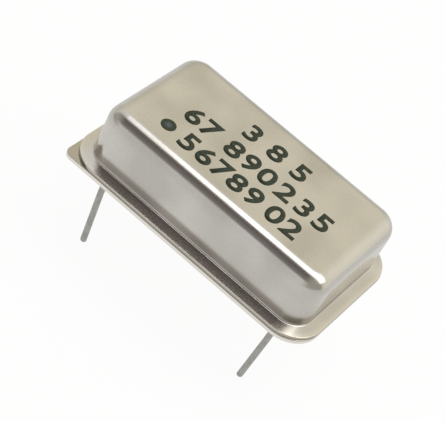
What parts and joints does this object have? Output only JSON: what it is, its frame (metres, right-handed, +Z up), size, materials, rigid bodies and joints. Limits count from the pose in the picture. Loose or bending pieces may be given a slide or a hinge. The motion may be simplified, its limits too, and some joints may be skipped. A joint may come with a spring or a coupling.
{
  "type": "crystal oscillator",
  "caption": "Clock oscillator in a welded metal can with a flanged base, one square corner beside its first lead, and straight wire leads.",
  "frame": {"origin": "centre of the lead pattern on the seating plane, where the stand-offs meet a board", "axes": "+X along the can from leads 1 and 14 towards leads 7 and 8, +Y across it from leads 1 and 7 towards leads 8 and 14, +Z up through the cover"},
  "size_m": [0.0206, 0.0124, 0.0121],
  "materials": {
    "nickel_plated_steel_drawn": "satin nickel plate over drawn steel sheet",
    "nickel_plated_steel_stamped": "satin nickel plate over stamped steel",
    "tinned_lead": "dull tinned iron-nickel wire",
    "sealing_glass": "fused dark green sealing glass",
    "braze_alloy": "fused alloy",
    "alumina": "fired white alumina, as fired",
    "gold_film": "fired thick film",
    "solder": "bright reflowed solder",
    "silicon": "polished silicon",
    "silver_epoxy": "cured silver-filled adhesive",
    "gold_wire": "drawn gold wire",
    "capacitor_ceramic": "fired ceramic",
    "capacitor_tin": "dull tin plate",
    "quartz": "lapped and etched quartz",
    "silver_film": "evaporated silver",
    "clip_strip": "nickel-plated spring strip",
    "ink": "cured printing ink"
  },
  "bodies": {
    "root": {"cover": "nickel_plated_steel_drawn", "header": "nickel_plated_steel_stamped", "lead_1": "tinned_lead", "lead_7": "tinned_lead", "lead_8": "tinned_lead", "lead_14": "tinned_lead", "seal_1": "sealing_glass", "seal_8": "sealing_glass", "seal_14": "sealing_glass", "ground_braze": "braze_alloy", "substrate": "alumina", "conductors": "gold_film", "lead_solder": "solder", "oscillator_die": "silicon", "die_attach": "silver_epoxy", "bond_wires": "gold_wire", "capacitor_body": "capacitor_ceramic", "capacitor_terminals": "capacitor_tin", "capacitor_solder": "solder", "crystal_blank": "quartz", "electrode_upper": "silver_film", "electrode_lower": "silver_film", "clip_input": "clip_strip", "clip_output": "clip_strip", "clip_solder": "solder", "clip_adhesive": "silver_epoxy", "index_dot": "ink", "marking": "ink"}
  },
  "joints": []
}
